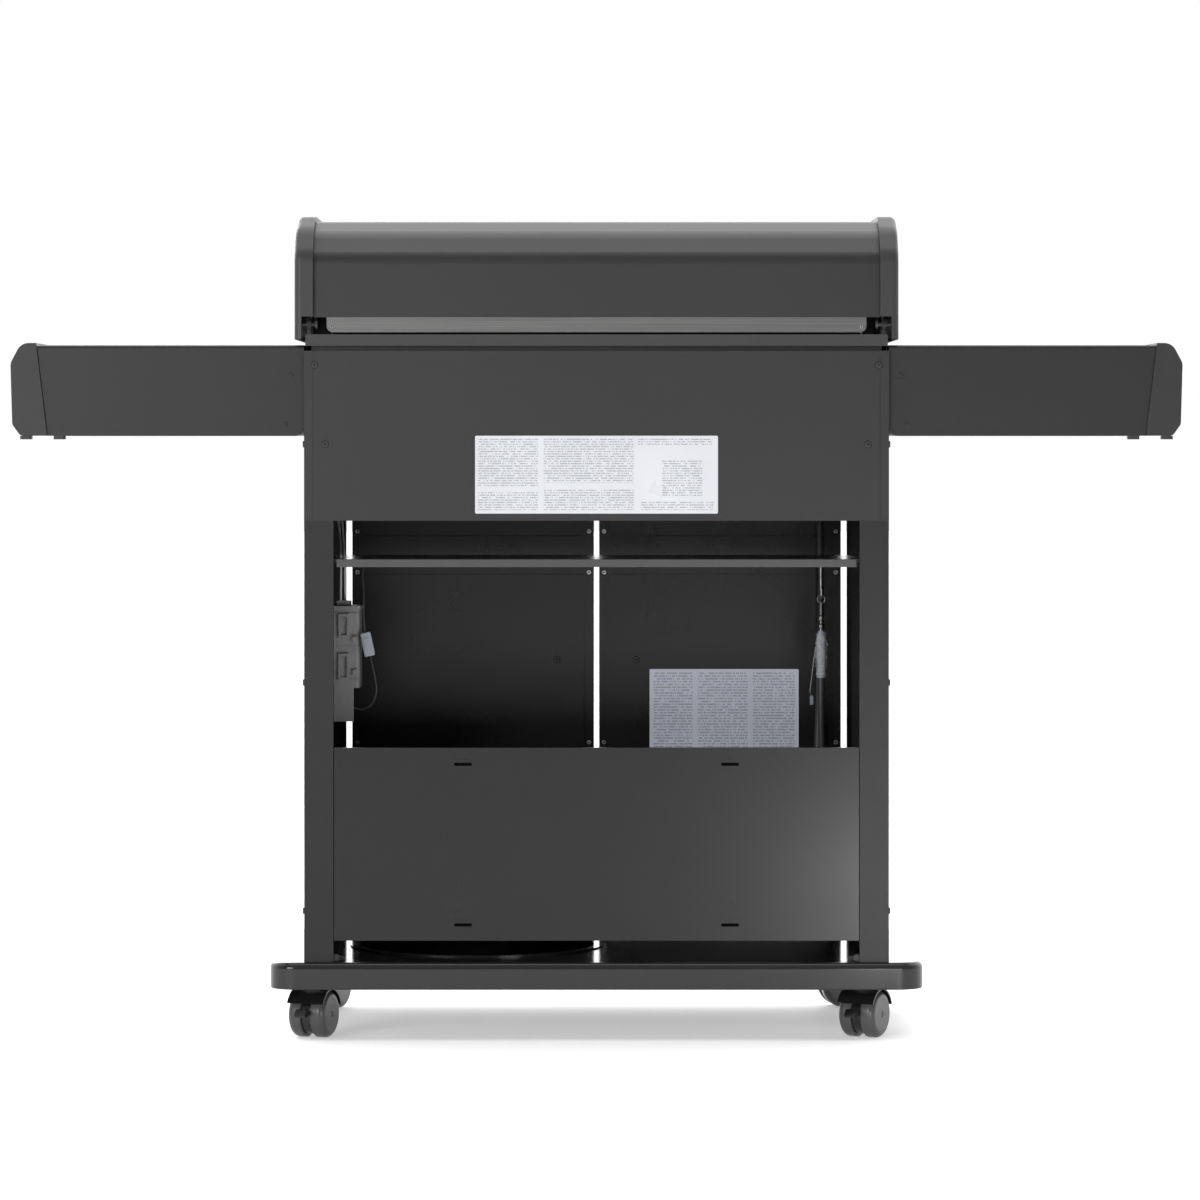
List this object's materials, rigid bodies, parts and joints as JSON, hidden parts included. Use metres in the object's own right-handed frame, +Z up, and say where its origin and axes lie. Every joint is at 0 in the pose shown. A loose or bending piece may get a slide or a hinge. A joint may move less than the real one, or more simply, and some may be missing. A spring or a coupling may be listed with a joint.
{
  "type": "gas barbecue grill",
  "caption": "Free-standing gas grill on casters with a hinged lid, fixed side shelves, a cabinet with doors, and an open back showing the hanging gas hose.",
  "frame": {"origin": "centre of the footprint, on the ground", "axes": "+X to the cook's right along the longest side, +Y from the cook towards the open back, +Z up"},
  "size_m": [1.6418, 0.61, 1.156],
  "materials": {
    "dark_steel": "powder coated, satin dark grey",
    "dark_cast": "painted cast aluminium, satin",
    "cap_plastic": "grained dark grey plastic",
    "inner_steel": "glossy black enamel",
    "stainless": "brushed along its length",
    "cast_iron": "enamelled cast iron",
    "black_plastic": "fine grained",
    "grey_plastic": "smooth, semi-matt",
    "rubber_hose": "satin hose rubber",
    "label_white": "printed film label",
    "card_blue": "printed card under film",
    "brass_fitting": "dull plated brass",
    "zinc": "zinc plated",
    "tread": "hard caster tread"
  },
  "bodies": {
    "cabinet": {"base_shelf": "dark_steel", "cylinder_well": "dark_steel", "right_side_panel": "dark_steel", "left_side_panel": "dark_steel", "rear_upper_panel": "dark_steel", "rear_lower_panel": "dark_steel", "heat_shield": "dark_steel", "front_rail": "dark_steel", "door_brackets": "zinc", "control_panel": "dark_steel", "rating_plate": "label_white", "cabinet_screws": "zinc", "firebox": "dark_cast", "burners": "stainless", "flame_tamers": "stainless", "cooking_grids": "cast_iron", "warming_rack": "zinc", "gas_manifold": "zinc", "burner_valves": "brass_fitting", "hinge_lugs": "dark_cast", "knob_bezels": "black_plastic", "right_shelf": "dark_steel", "left_shelf": "dark_steel", "shelf_end_caps": "cap_plastic", "shelf_feet": "black_plastic", "battery_box": "grey_plastic", "igniter_connector": "grey_plastic", "igniter_leads": "grey_plastic", "hose_hook": "zinc", "hose_end_fitting": "brass_fitting", "hose_end_sleeve": "grey_plastic", "gas_hose": "rubber_hose", "caster_plates": "zinc"},
    "lid": {"lid_skin": "dark_steel", "lid_right_end": "dark_cast", "lid_left_end": "dark_cast", "rear_baffle": "stainless", "lid_handle": "stainless", "lid_thermometer": "stainless"},
    "right_door": {"right_door": "inner_steel", "right_door_handle": "stainless"},
    "left_door": {"left_door": "inner_steel", "left_door_handle": "stainless", "safety_card": "card_blue"},
    "grease_tray": {"grease_tray": "zinc"},
    "igniter_button": {"igniter_button": "black_plastic"},
    "knob_1": {"knob_1": "black_plastic"},
    "knob_2": {"knob_2": "black_plastic"},
    "knob_3": {"knob_3": "black_plastic"},
    "knob_4": {"knob_4": "black_plastic"},
    "caster_rear_right": {"caster_rear_right_hood": "black_plastic"},
    "wheels_rear_right": {"caster_rear_right_wheels": "tread"},
    "brake_rear_right": {"caster_rear_right_brake": "black_plastic"},
    "caster_rear_left": {"caster_rear_left_hood": "black_plastic"},
    "wheels_rear_left": {"caster_rear_left_wheels": "tread"},
    "brake_rear_left": {"caster_rear_left_brake": "black_plastic"},
    "caster_front_right": {"caster_front_right_hood": "black_plastic"},
    "wheels_front_right": {"caster_front_right_wheels": "tread"},
    "caster_front_left": {"caster_front_left_hood": "black_plastic"},
    "wheels_front_left": {"caster_front_left_wheels": "tread"}
  },
  "joints": [
    {"name": "lid_hinge", "type": "hinge", "parent": "cabinet", "child": "lid", "pos_m": [0, 0.288, 1.002], "axis": [-1, 0, 0], "range_deg": [0, 88]},
    {"name": "right_door_hinge", "type": "hinge", "parent": "cabinet", "child": "right_door", "pos_m": [0.358, -0.181, 0.45], "axis": [0, 0, 1], "range_deg": [0, 110]},
    {"name": "left_door_hinge", "type": "hinge", "parent": "cabinet", "child": "left_door", "pos_m": [-0.358, -0.181, 0.45], "axis": [0, 0, -1], "range_deg": [0, 110]},
    {"name": "grease_tray_slide", "type": "slide", "parent": "cabinet", "child": "grease_tray", "axis": [0, -1, 0], "range_m": [0, 0.07]},
    {"name": "igniter_push", "type": "slide", "parent": "cabinet", "child": "igniter_button", "axis": [0, 0.9919, -0.1271], "range_m": [0, 0.004], "stiffness_N_per_m": 400, "springref_m": -0.002},
    {"name": "knob_1_turn", "type": "hinge", "parent": "cabinet", "child": "knob_1", "pos_m": [-0.27, -0.2537, 0.88], "axis": [0, -0.9919, 0.1271], "range_deg": [0, 135]},
    {"name": "knob_2_turn", "type": "hinge", "parent": "cabinet", "child": "knob_2", "pos_m": [-0.09, -0.2537, 0.88], "axis": [0, -0.9919, 0.1271], "range_deg": [0, 135]},
    {"name": "knob_3_turn", "type": "hinge", "parent": "cabinet", "child": "knob_3", "pos_m": [0.09, -0.2537, 0.88], "axis": [0, -0.9919, 0.1271], "range_deg": [0, 135]},
    {"name": "knob_4_turn", "type": "hinge", "parent": "cabinet", "child": "knob_4", "pos_m": [0.27, -0.2537, 0.88], "axis": [0, -0.9919, 0.1271], "range_deg": [0, 135]},
    {"name": "caster_rear_right_swivel", "type": "hinge", "parent": "cabinet", "child": "caster_rear_right", "pos_m": [0.389, 0.229, 0.09], "axis": [0, 0, 1], "continuous": true},
    {"name": "wheels_rear_right_roll", "type": "hinge", "parent": "caster_rear_right", "child": "wheels_rear_right", "pos_m": [0.39789, 0.25343, 0.033], "axis": [0.9397, -0.342, 0], "continuous": true},
    {"name": "brake_rear_right_press", "type": "hinge", "parent": "caster_rear_right", "child": "brake_rear_right", "pos_m": [0.41157, 0.29102, 0.038], "axis": [0.9397, -0.342, 0], "range_deg": [-12, 0]},
    {"name": "caster_rear_left_swivel", "type": "hinge", "parent": "cabinet", "child": "caster_rear_left", "pos_m": [-0.389, 0.229, 0.09], "axis": [0, 0, 1], "continuous": true},
    {"name": "wheels_rear_left_roll", "type": "hinge", "parent": "caster_rear_left", "child": "wheels_rear_left", "pos_m": [-0.3772, 0.25217, 0.033], "axis": [0.891, -0.454, 0], "continuous": true},
    {"name": "brake_rear_left_press", "type": "hinge", "parent": "caster_rear_left", "child": "brake_rear_left", "pos_m": [-0.35904, 0.28781, 0.038], "axis": [0.891, -0.454, 0], "range_deg": [-12, 0]},
    {"name": "caster_front_right_swivel", "type": "hinge", "parent": "cabinet", "child": "caster_front_right", "pos_m": [0.389, -0.15, 0.09], "axis": [0, 0, 1], "continuous": true},
    {"name": "wheels_front_right_roll", "type": "hinge", "parent": "caster_front_right", "child": "wheels_front_right", "pos_m": [0.39874, -0.12589, 0.033], "axis": [0.9272, -0.3746, 0], "continuous": true},
    {"name": "caster_front_left_swivel", "type": "hinge", "parent": "cabinet", "child": "caster_front_left", "pos_m": [-0.389, -0.15, 0.09], "axis": [0, 0, 1], "continuous": true},
    {"name": "wheels_front_left_roll", "type": "hinge", "parent": "caster_front_left", "child": "wheels_front_left", "pos_m": [-0.36339, -0.14549, 0.033], "axis": [0.1736, -0.9848, 0], "continuous": true}
  ]
}
